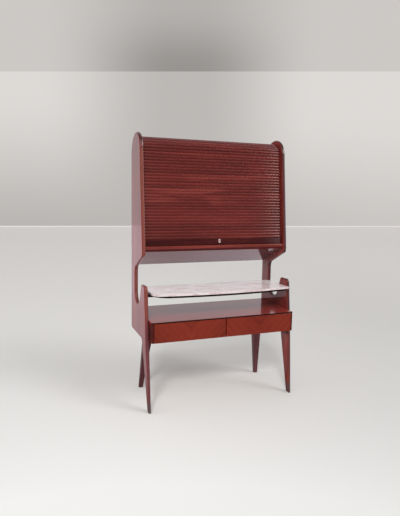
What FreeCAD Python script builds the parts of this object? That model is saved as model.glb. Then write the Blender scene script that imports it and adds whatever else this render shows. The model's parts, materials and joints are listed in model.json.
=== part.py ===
"""Tambour desk: two one-piece side panels carry a roll-front cabinet, a marble shelf and a drawer case.

Units are millimetres. X runs across the desk, Z is up, and the front faces -Y.
Depths in this file are measured forward from the back plane of the side panels; y_at() turns
them into the Y coordinate, so that the origin sits under the centre of the whole desk.
"""

import FreeCAD
import Part

import math
import os

V = FreeCAD.Vector

# Overall
WIDTH = 1000.0
DEPTH = 443.0
PANEL_T = 23.0
EDGE_ROUND = 9.0
INNER_X = WIDTH / 2 - PANEL_T
FIT = 0.1

# Side panel outline (depth forward, height)
CROWN_TOP = 1693.0
CROWN_MID = 126.0
FRONT_CROWN_R = 108.0
BACK_CROWN_R = 126.0
FRONT_LEAN = math.radians(5.83)
BELLY_FRONT = 297.0
BELLY_LOW = 937.0
UPRIGHT_FRONT = 100.0
UPRIGHT_TOP = 842.0
NOTCH_LOW = 622.0
NOTCH_FRONT = 213.0
HORN_TOP = 761.0
HORN_BACK = 264.0
HORN_FRONT = 349.5
LEG_BACK_TOP = 283.0
LEG_BACK_FOOT = 390.0
LEG_FRONT_FOOT = 431.5
PANEL_LOW = 421.0
FOOT_TAPER = 10.5
FOOT_TAPER_Z = 396.0
FOOT_ROUND = 5.0

# Tambour and its track
SLAT_INSET = 26.0
SLAT_T = 9.0
SLAT_EDGE_T = 5.6
SLAT_PITCH = 18.8
SLAT_W = 18.2
FRONT_SLATS = 29
BACK_SLATS = 16
CANVAS_T = 0.9
GROOVE_DEPTH = 8.0
GROOVE_CLEAR = 0.7
SLAT_HALF = INNER_X + GROOVE_DEPTH - 1.0
RAIL_H = 36.0
RAIL_IN = 7.5
RAIL_OUT = 9.5
RAIL_TOP_Z = 1031.0
TRACK_BACK_LOW = 955.0

# Upper cabinet
FLOOR_TOP = 994.0
FLOOR_T = 21.0
NOSING_BACK = 225.0
NOSING_FRONT = 285.0
SOFFIT_T = 11.0
SOFFIT_FRONT = 281.0
SOFFIT_FRONT_Z = 961.0
SOFFIT_BACK = 8.0
SOFFIT_BACK_Z = 846.0
BACK_IN = 12.0
BACK_T = 6.0
BACK_LOW = 863.0
BACK_HIGH = 1560.0
BATTEN_LOW = 875.0
BATTEN_T = 7.0
FALSE_BACK_IN = 40.0
FALSE_BACK_T = 6.0
CEILING_TOP = 1568.0
CEILING_T = 10.0
CEILING_FRONT = 187.0
INNER_SHELF_Z = 1270.0
INNER_SHELF_T = 16.0
INNER_SHELF_FRONT = 218.0

# Lock
LOCK_X = 18.0
LOCK_W = 44.0
LOCK_H = 24.0
LOCK_T = 9.0
BOLT_W = 16.0
BOLT_T = 4.0
BOLT_THROW = 8.0
ESCUTCHEON_W = 13.0
ESCUTCHEON_H = 26.0
ESCUTCHEON_T = 1.2

# Marble shelf
MARBLE_TOP = 716.0
MARBLE_T = 12.0
MARBLE_LEFT = -455.0
MARBLE_RIGHT = 475.0
MARBLE_BACK = 108.0
MARBLE_END_FRONT = 388.0
MARBLE_BOW = 36.0
MARBLE_LEFT_ROUND = 54.0
MARBLE_RIGHT_ROUND = 8.0
MARBLE_BACK_ROUND = 25.0
BOARD_T = 14.0
BOARD_SETBACK = 12.0
BOARD_LEFT_ROUND = 110.0
BOARD_BACK_ROUND = 50.0
BOARD_EAR_BACK = 262.0
BOARD_EAR_FRONT = 327.0

# Drawer case
CASE_BACK_IN = 8.0
CASE_TOP_Z = 560.0
CASE_TOP_T = 16.0
CASE_LIP_T = 5.0
CASE_LOW = 434.5
CASE_SIDE_T = 12.0
CASE_FLOOR_Z = 436.0
CASE_FLOOR_T = 10.0
CASE_FLOOR_FRONT = 405.0
CASE_BACK_T = 10.0
DIVIDER_T = 12.0
RUNNER_H = 4.0
RUNNER_W = 14.0
KICKER_H = 6.0

# Drawers
DRAWER_FRONT_T = 21.5
DRAWER_FRONT_TOP = 551.0
DRAWER_GAP = 1.2
DRAWER_FRONT_GAP = 2.5
DRAWER_WALL = 10.0
DRAWER_BACK_IN = 30.0
DRAWER_SIDE_LOW = 450.3
DRAWER_SIDE_TOP = 536.5
DRAWER_FLOOR_Z = 455.0
DRAWER_FLOOR_T = 4.0
PULL_W = 130.0

# Rear legs
REAR_FOOT_X = 439.0
REAR_FOOT_IN = 14.0
REAR_TOP_X = 402.0
REAR_TOP_IN = 76.6
REAR_TOP_Z = 412.0
REAR_TOP_W = 61.0
REAR_FOOT_W = 27.0
REAR_TOP_ROUND = 10.0
REAR_FOOT_ROUND = 6.0


def y_at(depth):
    """Y coordinate of a depth measured forward from the back plane."""
    return DEPTH / 2 - depth


def point(x, depth, z):
    return V(x, y_at(depth), z)


def box(x0, x1, d0, d1, z0, z1):
    """Box between two x values, two forward depths and two heights."""
    low = V(min(x0, x1), y_at(max(d0, d1)), z0)
    return Part.makeBox(abs(x1 - x0), abs(d1 - d0), z1 - z0, low)


def rod(start, end, radius):
    """Cylinder from one point to another."""
    axis = end.sub(start)
    return Part.makeCylinder(radius, axis.Length, start, axis)


def face_of(edges):
    return Part.Face(Part.Wire(edges))


def rounded_outline(corners, x):
    """Closed wire in the plane X = x. Each corner is (depth, z, radius)."""
    starts, ends, mids = [], [], []
    count = len(corners)
    for i, (d, z, r) in enumerate(corners):
        here = V(x, y_at(d), z)
        before = point(x, *corners[i - 1][:2]).sub(here).normalize()
        after = point(x, *corners[(i + 1) % count][:2]).sub(here).normalize()
        half = before.getAngle(after) / 2
        if r <= 0:
            starts.append(here)
            ends.append(here)
            mids.append(None)
            continue
        reach = r / math.tan(half)
        bisector = before.add(after).normalize()
        centre = here.add(bisector.multiply(r / math.sin(half)))
        starts.append(here.add(before.multiply(reach)))
        ends.append(here.add(after.multiply(reach)))
        toward = here.sub(centre).normalize()
        mids.append(centre.add(toward.multiply(r)))
    edges = []
    for i in range(count):
        if mids[i] is not None:
            edges.append(Part.Arc(starts[i], mids[i], ends[i]).toShape())
        nxt = starts[(i + 1) % count]
        if ends[i].distanceToPoint(nxt) > 1e-6:
            edges.append(Part.makeLine(ends[i], nxt))
    return edges


def front_line(z):
    """Depth of the leaning front line of the upper panel at a height."""
    tangent_d = CROWN_MID + FRONT_CROWN_R * math.cos(FRONT_LEAN)
    tangent_z = CROWN_TOP - FRONT_CROWN_R + FRONT_CROWN_R * math.sin(FRONT_LEAN)
    return tangent_d + (tangent_z - z) * math.tan(FRONT_LEAN)


def arc_edge(x, centre_d, centre_z, radius, angle0, angle1):
    """Arc in the plane X = x; angles are measured up from the forward direction."""
    ends = []
    for angle in (angle0, (angle0 + angle1) / 2, angle1):
        ends.append(point(x, centre_d + radius * math.cos(angle), centre_z + radius * math.sin(angle)))
    return Part.Arc(*ends).toShape()


def panel_outline(x):
    """Outline of a side panel: crown, belly, upright, notch, horn and front leg."""
    front_z = CROWN_TOP - FRONT_CROWN_R
    back_z = CROWN_TOP - BACK_CROWN_R
    edges = [
        arc_edge(x, CROWN_MID, back_z, BACK_CROWN_R, math.pi, math.pi / 2),
        arc_edge(x, CROWN_MID, front_z, FRONT_CROWN_R, math.pi / 2, FRONT_LEAN),
    ]
    crown_end = edges[-1].Vertexes[-1].Point
    crown_start = point(x, 0, back_z)
    leg_slope = (LEG_FRONT_FOOT - HORN_FRONT) / HORN_TOP
    under = 40.0
    corners = [
        (0.0, back_z, 0.0),
        (DEPTH / 2 - crown_end.y, crown_end.z, 0.0),
        (front_line(975.0), 975.0, 60.0),
        (BELLY_FRONT, BELLY_LOW, 26.0),
        (UPRIGHT_FRONT, UPRIGHT_TOP, 48.0),
        (UPRIGHT_FRONT, NOTCH_LOW, 70.0),
        (NOTCH_FRONT, NOTCH_LOW, 57.0),
        (HORN_BACK, HORN_TOP, 15.0),
        (HORN_FRONT, HORN_TOP, 24.0),
        (LEG_FRONT_FOOT + under * leg_slope, -under, 0.0),
        (LEG_BACK_FOOT + under * 0.254, -under, 0.0),
        (LEG_BACK_TOP, PANEL_LOW, 22.0),
        (0.0, PANEL_LOW, 25.0),
    ]
    rest = rounded_outline(corners, x)
    closing = [e for e in rest if not same_ends(e, crown_start, crown_end)]
    return Part.Wire(Part.__sortEdges__(edges + closing))


def same_ends(edge, a, b):
    found = [v.Point for v in edge.Vertexes]
    if len(found) != 2:
        return False
    return {found[0].distanceToPoint(a) < 1e-3, found[1].distanceToPoint(b) < 1e-3} == {True}


def track_point(s, out):
    """Depth, height and travel direction on the track, s from the top of the closed lock rail."""
    start_z = RAIL_TOP_Z
    inset = SLAT_INSET + SLAT_T
    front_r = FRONT_CROWN_R - inset
    back_r = BACK_CROWN_R - inset
    tangent_z = CROWN_TOP - FRONT_CROWN_R + front_r * math.sin(FRONT_LEAN)
    straight = (tangent_z - start_z) / math.cos(FRONT_LEAN)
    front_turn = front_r * (math.pi / 2 - FRONT_LEAN)
    back_turn = back_r * math.pi / 2
    if s <= straight:
        z = start_z + s * math.cos(FRONT_LEAN)
        d = front_line(z) - inset / math.cos(FRONT_LEAN)
        angle = FRONT_LEAN
    elif s <= straight + front_turn:
        angle = FRONT_LEAN + (s - straight) / front_r
        d = CROWN_MID + front_r * math.cos(angle)
        z = CROWN_TOP - FRONT_CROWN_R + front_r * math.sin(angle)
    elif s <= straight + front_turn + back_turn:
        angle = math.pi / 2 + (s - straight - front_turn) / back_r
        d = CROWN_MID + back_r * math.cos(angle)
        z = CROWN_TOP - BACK_CROWN_R + back_r * math.sin(angle)
    else:
        angle = math.pi
        d = CROWN_MID - back_r
        z = CROWN_TOP - BACK_CROWN_R - (s - straight - front_turn - back_turn)
    return d + out * math.cos(angle), z + out * math.sin(angle), angle


def on_track(x, s, along, out):
    """Point near track position s: 'along' the travel direction and 'out' from the canvas."""
    d, z, angle = track_point(s, 0.0)
    d += out * math.cos(angle) - along * math.sin(angle)
    z += out * math.sin(angle) + along * math.cos(angle)
    return point(x, d, z)


def track_groove(x, low_s, inset0, inset1, back_low):
    """Face of the groove in the plane X = x between two insets from the panel outline."""
    front_z = CROWN_TOP - FRONT_CROWN_R
    back_z = CROWN_TOP - BACK_CROWN_R
    edges = []
    ends = []
    for inset in (inset0, inset1):
        low = on_track(x, low_s, 0.0, SLAT_INSET + SLAT_T - inset)
        front = arc_edge(x, CROWN_MID, front_z, FRONT_CROWN_R - inset, FRONT_LEAN, math.pi / 2)
        back = arc_edge(x, CROWN_MID, back_z, BACK_CROWN_R - inset, math.pi / 2, math.pi)
        bottom = point(x, inset, back_low)
        edges += [Part.makeLine(low, front.Vertexes[0].Point), front, back]
        edges.append(Part.makeLine(back.Vertexes[-1].Point, bottom))
        ends.append((low, bottom))
    edges.append(Part.makeLine(ends[0][0], ends[1][0]))
    edges.append(Part.makeLine(ends[0][1], ends[1][1]))
    return Part.Face(Part.Wire(Part.__sortEdges__(edges)))


def track_length_low():
    """Track position of the groove's lower end, just under the lock rail."""
    return -RAIL_H - 0.5


def make_side_panel(side):
    """One panel with rounded edges, a foot that thins on its outer face and the tambour groove."""
    outer = side * WIDTH / 2
    body = Part.Face(panel_outline(outer)).extrude(V(-side * PANEL_T, 0, 0))
    rims = []
    for edge in body.Edges:
        xs = [v.X for v in edge.Vertexes]
        if max(xs) - min(xs) > 1:
            continue
        zs = [v.Z for v in edge.Vertexes]
        if max(zs) > -39:
            rims.append(edge)
    body = body.makeFillet(EDGE_ROUND, rims)
    leg_cut = body.slice(V(0, 0, 1), FOOT_TAPER_Z)[0]
    floor_cut = level_ring(
        side * INNER_X,
        side * (WIDTH / 2 - FOOT_TAPER),
        LEG_BACK_FOOT,
        LEG_FRONT_FOOT,
        0,
        FOOT_ROUND,
    )
    body = body.cut(box(-WIDTH, WIDTH, -50, 600, -200, FOOT_TAPER_Z))
    body = body.fuse(Part.makeLoft([floor_cut, leg_cut], True, True))
    inset0 = SLAT_INSET - GROOVE_CLEAR
    inset1 = SLAT_INSET + SLAT_T + CANVAS_T + GROOVE_CLEAR
    groove = track_groove(side * (INNER_X - 1), track_length_low(), inset0, inset1, TRACK_BACK_LOW)
    return body.cut(groove.extrude(V(side * (GROOVE_DEPTH + 1), 0, 0)))


def make_slat(index):
    """One half-round slat lying on the canvas."""
    s = (index + 0.5) * SLAT_PITCH
    x = -SLAT_HALF
    a = on_track(x, s, -SLAT_W / 2, 0)
    b = on_track(x, s, SLAT_W / 2, 0)
    c = on_track(x, s, SLAT_W / 2, SLAT_EDGE_T)
    top = on_track(x, s, 0, SLAT_T)
    d = on_track(x, s, -SLAT_W / 2, SLAT_EDGE_T)
    edges = [Part.makeLine(a, b), Part.makeLine(b, c), Part.Arc(c, top, d).toShape(), Part.makeLine(d, a)]
    return face_of(edges).extrude(V(2 * SLAT_HALF, 0, 0))


def make_canvas(s0, s1, steps):
    """Strip of canvas under the slats between two track positions."""
    half = SLAT_HALF - 6
    outer, inner = [], []
    for i in range(steps + 1):
        s = s0 + (s1 - s0) * i / steps
        outer.append(on_track(-half, s, 0, 0))
        inner.append(on_track(-half, s, 0, -CANVAS_T))
    ring = outer + inner[::-1]
    edges = [Part.makeLine(ring[i - 1], ring[i]) for i in range(len(ring))]
    return face_of(edges).extrude(V(2 * half, 0, 0))


def rail_block(x0, x1, s0, s1, out0, out1):
    """Block in the leaning frame of the shutter's front run."""
    corners = [
        on_track(x0, s0, 0, out0),
        on_track(x0, s1, 0, out0),
        on_track(x0, s1, 0, out1),
        on_track(x0, s0, 0, out1),
    ]
    edges = [Part.makeLine(corners[i - 1], corners[i]) for i in range(4)]
    return face_of(edges).extrude(V(x1 - x0, 0, 0))


def rail_rod(x, s, out0, out1, radius):
    """Cylinder square to the lock rail's face."""
    return rod(on_track(x, s, 0, out0), on_track(x, s, 0, out1), radius)


def lock_middle():
    return -RAIL_H / 2 + 5.0


def make_lock_parts():
    """Lock case, bolt, escutcheon, its pins, the lock's screws and the strike plate."""
    mid = lock_middle()
    x0, x1 = LOCK_X - LOCK_W / 2, LOCK_X + LOCK_W / 2
    case = rail_block(x0, x1, mid - LOCK_H / 2, mid + LOCK_H / 2, -RAIL_IN, -RAIL_IN + LOCK_T)
    bolt_out = -RAIL_IN + LOCK_T / 2
    slot0, slot1 = bolt_out - BOLT_T / 2 - 0.3, bolt_out + BOLT_T / 2 + 0.3
    chamber = rail_block(
        LOCK_X - BOLT_W / 2 - 0.3, LOCK_X + BOLT_W / 2 + 0.3, mid - LOCK_H, mid + 8, slot0, slot1
    )
    keyway = keyhole(mid, -RAIL_IN + LOCK_T / 2, RAIL_OUT + 3, 0.0)
    case = case.cut(chamber).cut(keyway)
    bolt = rail_block(
        LOCK_X - BOLT_W / 2,
        LOCK_X + BOLT_W / 2,
        -RAIL_H + 0.3,
        mid - 2,
        bolt_out - BOLT_T / 2,
        bolt_out + BOLT_T / 2,
    )
    r = ESCUTCHEON_W / 2
    reach = (ESCUTCHEON_H - ESCUTCHEON_W) / 2
    face = RAIL_OUT + ESCUTCHEON_T
    plate = rail_block(LOCK_X - r, LOCK_X + r, mid - reach, mid + reach, RAIL_OUT, face)
    for s in (mid - reach, mid + reach):
        plate = plate.fuse(rail_rod(LOCK_X, s, RAIL_OUT, face, r))
    plate = plate.removeSplitter().cut(keyway)
    pins = []
    for s in (mid - ESCUTCHEON_H / 2 + 2.6, mid + ESCUTCHEON_H / 2 - 2.6):
        pin = rail_rod(LOCK_X, s, RAIL_OUT - 6, face, 0.7)
        pins.append(pin.fuse(rail_rod(LOCK_X, s, face, face + 0.7, 1.4)))
    plate = plate.cut(Part.makeCompound(pins))
    screws = []
    for dx in (-LOCK_W / 2 + 5, LOCK_W / 2 - 5):
        for ds in (-LOCK_H / 2 + 5, LOCK_H / 2 - 5):
            screws.append(rail_rod(LOCK_X + dx, mid + ds, -RAIL_IN, RAIL_OUT - 3, 1.6))
    case = case.cut(Part.makeCompound(screws))
    return case, bolt, plate, Part.makeCompound(pins), Part.makeCompound(screws), keyway


def keyhole(mid, out0, out1, grow):
    """Keyhole-shaped opening through the rail's face."""
    bow = rail_rod(LOCK_X, mid + 2.5, out0, out1, 2.6 + grow)
    blade = rail_block(LOCK_X - 1.2 - grow, LOCK_X + 1.2 + grow, mid - 6, mid + 2.5, out0, out1)
    return bow.fuse(blade)


def make_lock_rail(case, pins, screws, keyway):
    """Bottom rail of the shutter with tongues for the grooves and a recess for the lock."""
    body = rail_block(-INNER_X + 1, INNER_X - 1, -RAIL_H, -0.3, -RAIL_IN, RAIL_OUT)
    front = []
    for edge in body.Edges:
        middle = edge.CenterOfMass
        long_way = abs(edge.Vertexes[0].X - edge.Vertexes[-1].X) > 100
        if long_way and middle.y < y_at(track_point(-RAIL_H / 2, 0)[0]):
            front.append(edge)
    body = body.makeFillet(1.5, front)
    tongues = rail_block(-SLAT_HALF, SLAT_HALF, -RAIL_H, -0.3, 0, SLAT_T)
    body = body.fuse(tongues).removeSplitter()
    mid = lock_middle()
    pocket = rail_block(
        LOCK_X - LOCK_W / 2, LOCK_X + LOCK_W / 2, mid - LOCK_H / 2, mid + LOCK_H / 2, -RAIL_IN - 1, -RAIL_IN + LOCK_T
    )
    bolt_out = -RAIL_IN + LOCK_T / 2
    way = rail_block(
        LOCK_X - BOLT_W / 2 - 0.4,
        LOCK_X + BOLT_W / 2 + 0.4,
        -RAIL_H - 1,
        mid,
        bolt_out - BOLT_T / 2 - 0.4,
        bolt_out + BOLT_T / 2 + 0.4,
    )
    return body.cut(pocket).cut(way).cut(keyway).cut(pins).cut(screws)


def make_strike():
    """Strike plate let into the nosing, and the bolt's mortise under it."""
    bolt_out = -RAIL_IN + LOCK_T / 2
    top = on_track(LOCK_X, -RAIL_H - 1, 0, bolt_out)
    depth = DEPTH / 2 - top.y
    plate = box(LOCK_X - 20, LOCK_X + 20, depth - 8, depth + 8, FLOOR_TOP - 1.5, FLOOR_TOP)
    slot = rail_block(
        LOCK_X - BOLT_W / 2 - 1.5,
        LOCK_X + BOLT_W / 2 + 1.5,
        -RAIL_H - 14,
        -RAIL_H + 4,
        bolt_out - BOLT_T / 2 - 1.2,
        bolt_out + BOLT_T / 2 + 1.2,
    )
    screws = []
    for dx in (-15, 15):
        x = LOCK_X + dx
        shank = rod(point(x, depth, FLOOR_TOP - 14), point(x, depth, FLOOR_TOP), 1.5)
        head = Part.makeCone(1.5, 3.0, 1.5, point(x, depth, FLOOR_TOP - 1.5))
        screws.append(shank.fuse(head))
    screws = Part.makeCompound(screws)
    return plate.cut(slot).cut(screws), slot, screws


def make_soffit():
    """Sloping underside board from the nosing down to the cabinet's back, cut upright at both ends."""
    rise = (SOFFIT_FRONT_Z - SOFFIT_BACK_Z) / (SOFFIT_FRONT - SOFFIT_BACK)
    thick = SOFFIT_T * math.sqrt(1 + rise * rise)
    x = -INNER_X + FIT
    ring = [
        point(x, SOFFIT_FRONT, SOFFIT_FRONT_Z),
        point(x, SOFFIT_BACK, SOFFIT_BACK_Z),
        point(x, SOFFIT_BACK, SOFFIT_BACK_Z + thick),
        point(x, SOFFIT_FRONT, SOFFIT_FRONT_Z + thick),
    ]
    edges = [Part.makeLine(ring[i - 1], ring[i]) for i in range(4)]
    return face_of(edges).extrude(V(2 * (INNER_X - FIT), 0, 0))


def bowed_slab(x0, x1, back, end_front, z0, z1, rounds):
    """Slab with a bowed front edge. rounds: front left, front right and both back corners."""
    left = point(x0, end_front, z0)
    right = point(x1, end_front, z0)
    edges = [
        Part.Arc(left, point((x0 + x1) / 2, end_front + MARBLE_BOW, z0), right).toShape(),
        Part.makeLine(right, point(x1, back, z0)),
        Part.makeLine(point(x1, back, z0), point(x0, back, z0)),
        Part.makeLine(point(x0, back, z0), left),
    ]
    slab = face_of(edges).extrude(V(0, 0, z1 - z0))
    spots = [(x0, end_front), (x1, end_front), (x0, back), (x1, back)]
    for (x, depth), radius in zip(spots, (*rounds, rounds[-1])):
        corner = []
        for edge in slab.Edges:
            low, high = edge.Vertexes[0], edge.Vertexes[-1]
            upright = abs(low.Z - high.Z) > 1
            if upright and abs(low.X - x) < 0.1 and abs(low.Y - y_at(depth)) < 0.1:
                corner.append(edge)
        slab = slab.makeFillet(radius, corner)
    return slab


def make_marble():
    """Marble slab, more rounded at its left end, where it stops short of the panel."""
    rounds = (MARBLE_LEFT_ROUND, MARBLE_RIGHT_ROUND, MARBLE_BACK_ROUND)
    low = MARBLE_TOP - MARBLE_T
    slab = bowed_slab(MARBLE_LEFT, MARBLE_RIGHT, MARBLE_BACK, MARBLE_END_FRONT, low, MARBLE_TOP, rounds)
    rims = [e for e in slab.Edges if all(abs(v.Z - MARBLE_TOP) < 1e-6 for v in e.Vertexes)]
    return slab.makeFillet(1.5, rims)


def make_board():
    """Black board under the marble, set back from its edge, with an ear at each horn."""
    top = MARBLE_TOP - MARBLE_T
    inset = BOARD_SETBACK
    rounds = (BOARD_LEFT_ROUND, MARBLE_RIGHT_ROUND, BOARD_BACK_ROUND)
    board = bowed_slab(
        MARBLE_LEFT + inset,
        MARBLE_RIGHT - inset,
        MARBLE_BACK + inset,
        MARBLE_END_FRONT - inset,
        top - BOARD_T,
        top,
        rounds,
    )
    half = INNER_X - FIT
    ears = box(-half, half, BOARD_EAR_BACK, BOARD_EAR_FRONT, top - BOARD_T, top)
    return board.fuse(ears).removeSplitter()


def make_board_dowels():
    """Dowels that hang the marble's board between the two horns."""
    dowels = []
    z = MARBLE_TOP - MARBLE_T - BOARD_T / 2
    for side in (-1, 1):
        for depth in (276.0, 295.0, 314.0):
            start = point(side * (INNER_X - 28), depth, z)
            end = point(side * (INNER_X + 15), depth, z)
            dowels.append(rod(start, end, 3.5))
    return Part.makeCompound(dowels)


def make_case_top():
    half = INNER_X - FIT
    board = box(-half, half, CASE_BACK_IN, DEPTH, CASE_TOP_Z - CASE_TOP_T, CASE_TOP_Z)
    corners = []
    for edge in board.Edges:
        ends = edge.Vertexes
        if abs(ends[0].Z - ends[-1].Z) > 1 and abs(ends[0].Y - y_at(DEPTH)) < 0.1:
            corners.append(edge)
    board = board.makeFillet(9.0, corners)
    rebate_in = DEPTH - DRAWER_FRONT_T - 1.5
    board = board.cut(box(-WIDTH, WIDTH, rebate_in, DEPTH + 5, CASE_TOP_Z - 50, CASE_TOP_Z - CASE_LIP_T))
    return board


def make_case_side(side):
    """Side board of the drawer case with a rounded front edge."""
    outer = side * (INNER_X - FIT)
    inner = side * (INNER_X - FIT - CASE_SIDE_T)
    top = CASE_TOP_Z - CASE_LIP_T
    board = box(inner, outer, CASE_BACK_IN, DEPTH - 2, CASE_LOW, top)
    nose = []
    for edge in board.Edges:
        ends = edge.Vertexes
        upright = abs(ends[0].Z - ends[-1].Z) > 1
        at_front = abs(ends[0].Y - y_at(DEPTH - 2)) < 0.1
        if upright and at_front and abs(ends[0].X - outer) < 0.1:
            nose.append(edge)
    board = board.makeFillet(8.0, nose)
    rebate_in = DEPTH - DRAWER_FRONT_T - 1.5
    step = box(-WIDTH, WIDTH, -20, rebate_in, CASE_TOP_Z - CASE_TOP_T, CASE_TOP_Z)
    return board.cut(step)


def drawer_span(side):
    """Outer x range of a drawer box, from the divider to the case side."""
    near = DIVIDER_T / 2 + DRAWER_GAP
    far = INNER_X - FIT - CASE_SIDE_T - DRAWER_GAP
    return side * near, side * far


def make_runners(z0, z1):
    """Four strips, one under or over each drawer wall."""
    strips = []
    for side in (-1, 1):
        near = side * DIVIDER_T / 2
        far = side * (INNER_X - FIT - CASE_SIDE_T)
        for start, step in ((near, side), (far, -side)):
            strips.append(box(start, start + step * RUNNER_W, CASE_BACK_IN + CASE_BACK_T, 403, z0, z1))
    return Part.makeCompound(strips)


def make_drawer(side):
    """Front, two walls, back and floor of one drawer."""
    near, far = drawer_span(side)
    front_in = DEPTH - DRAWER_FRONT_T
    front_far = INNER_X - FIT - CASE_SIDE_T - DRAWER_FRONT_GAP
    front = box(side * DRAWER_FRONT_GAP, side * front_far, front_in, DEPTH, CASE_LOW, DRAWER_FRONT_TOP)
    rims = []
    for edge in front.Edges:
        if all(abs(v.Y - y_at(DEPTH)) < 1e-6 for v in edge.Vertexes):
            rims.append(edge)
    front = front.makeFillet(1.0, rims)
    middle = (near + far) / 2
    pull = Part.makeCylinder(9.0, PULL_W, point(middle - PULL_W / 2, front_in, CASE_LOW + 4), V(1, 0, 0))
    front = front.cut(pull)
    step = side * DRAWER_WALL
    side_front = front_in + 9.0
    walls = [
        box(near, near + step, DRAWER_BACK_IN, side_front, DRAWER_SIDE_LOW, DRAWER_SIDE_TOP),
        box(far - step, far, DRAWER_BACK_IN, side_front, DRAWER_SIDE_LOW, DRAWER_SIDE_TOP),
    ]
    back = box(
        near + step,
        far - step,
        DRAWER_BACK_IN,
        DRAWER_BACK_IN + DRAWER_WALL,
        DRAWER_FLOOR_Z + DRAWER_FLOOR_T,
        DRAWER_SIDE_TOP - 6,
    )
    lip = side * 5.0
    floor = box(
        near + step - lip,
        far - step + lip,
        DRAWER_BACK_IN,
        front_in + 6.0,
        DRAWER_FLOOR_Z,
        DRAWER_FLOOR_Z + DRAWER_FLOOR_T,
    )
    walls = [w.cut(floor) for w in walls]
    front = front.cut(floor).cut(walls[0]).cut(walls[1])
    return front, walls[0], walls[1], back, floor


def level_ring(x0, x1, d0, d1, z, round_r):
    """Level rectangle with rounded corners, as a wire at height z."""
    plate = box(x0, x1, d0, d1, z, z + 1)
    uprights = [e for e in plate.Edges if abs(e.Vertexes[0].Z - e.Vertexes[-1].Z) > 0.5]
    plate = plate.makeFillet(round_r, uprights)
    for face in plate.Faces:
        if abs(face.CenterOfMass.z - z) < 1e-6:
            return face.OuterWire
    raise ValueError("no ring")


def square_ring(x, depth, z, width, round_r):
    h = width / 2
    return level_ring(x - h, x + h, depth - h, depth + h, z, round_r)


def make_rear_leg(side):
    foot = square_ring(side * REAR_FOOT_X, REAR_FOOT_IN, 0, REAR_FOOT_W, REAR_FOOT_ROUND)
    top = square_ring(side * REAR_TOP_X, REAR_TOP_IN, REAR_TOP_Z, REAR_TOP_W, REAR_TOP_ROUND)
    return Part.makeLoft([foot, top], True, True)


def make_leg_block(side):
    x0, x1 = side * (REAR_TOP_X - 48), side * (REAR_TOP_X + 48)
    return box(x0, x1, REAR_TOP_IN - 46, REAR_TOP_IN + 50, REAR_TOP_Z, CASE_FLOOR_Z)


def make_leg_studs():
    """Screwed stud in the head of each rear leg, up into its block."""
    studs = []
    for side in (-1, 1):
        low = point(side * (REAR_TOP_X + 3.5), REAR_TOP_IN - 6.0, REAR_TOP_Z - 38)
        high = point(side * REAR_TOP_X, REAR_TOP_IN, CASE_FLOOR_Z - 3)
        studs.append(rod(low, high, 4.0))
    return Part.makeCompound(studs)


def make_gusset(side):
    """Triangular block under the case, on the inner face of a front leg."""
    outer = side * (INNER_X - FIT)
    inner = side * (INNER_X - 15)
    top, low = CASE_LOW, CASE_LOW - 46
    y = y_at(384)
    ring = [V(outer, y, top), V(inner, y, top), V(outer, y, low)]
    edges = [Part.makeLine(ring[i - 1], ring[i]) for i in range(3)]
    return face_of(edges).extrude(V(0, 82, 0))


def wood_screw(start, direction, length, radius, head_radius):
    """Countersunk screw whose head is flush at start."""
    direction = V(direction).normalize()
    head_h = head_radius - radius
    head = Part.makeCone(head_radius, radius, head_h, start, direction)
    tip = start.add(V(direction).multiply(length))
    return rod(start, tip, radius).fuse(head).removeSplitter()


def make_case_screws():
    """Screws from inside the drawer case into the side panels."""
    screws = []
    inner = INNER_X - FIT - CASE_SIDE_T
    for side in (-1, 1):
        for depth in (60.0, 200.0, 340.0):
            for z in (462.0, 526.0):
                start = point(side * inner, depth, z)
                screws.append(wood_screw(start, V(side, 0, 0), 28, 2.0, 4.0))
    return Part.makeCompound(screws)


def make_cabinet_dowels():
    """Dowels joining the cabinet's nosing, floor and ceiling to the panels."""
    dowels = []
    floor_z = FLOOR_TOP - FLOOR_T / 2
    spots = [(243.0, floor_z), (267.0, floor_z), (75.0, floor_z), (150.0, floor_z), (200.0, floor_z)]
    spots += [(75.0, CEILING_TOP - CEILING_T / 2), (150.0, CEILING_TOP - CEILING_T / 2)]
    for side in (-1, 1):
        for depth, z in spots:
            start = point(side * (INNER_X - 24), depth, z)
            end = point(side * (INNER_X + 14), depth, z)
            dowels.append(rod(start, end, 3.2))
    return Part.makeCompound(dowels)


def make_back_screws():
    """Small screws that hold the cabinet's back board to its battens."""
    screws = []
    for side in (-1, 1):
        for z in (900.0, 1060.0, 1220.0, 1380.0, 1530.0):
            start = point(side * (INNER_X - 6), BACK_IN, z)
            screws.append(wood_screw(start, V(0, -1, 0), 13, 1.5, 3.0))
    return Part.makeCompound(screws)


def make_back_battens():
    """Upright battens beside the track that the back board is screwed to."""
    battens = []
    for side in (-1, 1):
        x0, x1 = side * (INNER_X - FIT), side * (INNER_X - 12)
        back = BACK_IN + BACK_T
        battens.append(box(x0, x1, back, back + BATTEN_T, BATTEN_LOW, BACK_HIGH))
    return Part.makeCompound(battens)


def make_shelf_pins():
    """Four brass pins under the inner shelf."""
    pins = []
    for side in (-1, 1):
        for depth in (70.0, 195.0):
            start = point(side * (INNER_X + 9), depth, INNER_SHELF_Z - 3.0)
            end = point(side * (INNER_X - 9), depth, INNER_SHELF_Z - 3.0)
            pins.append(rod(start, end, 3.0))
    return Part.makeCompound(pins)


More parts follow.
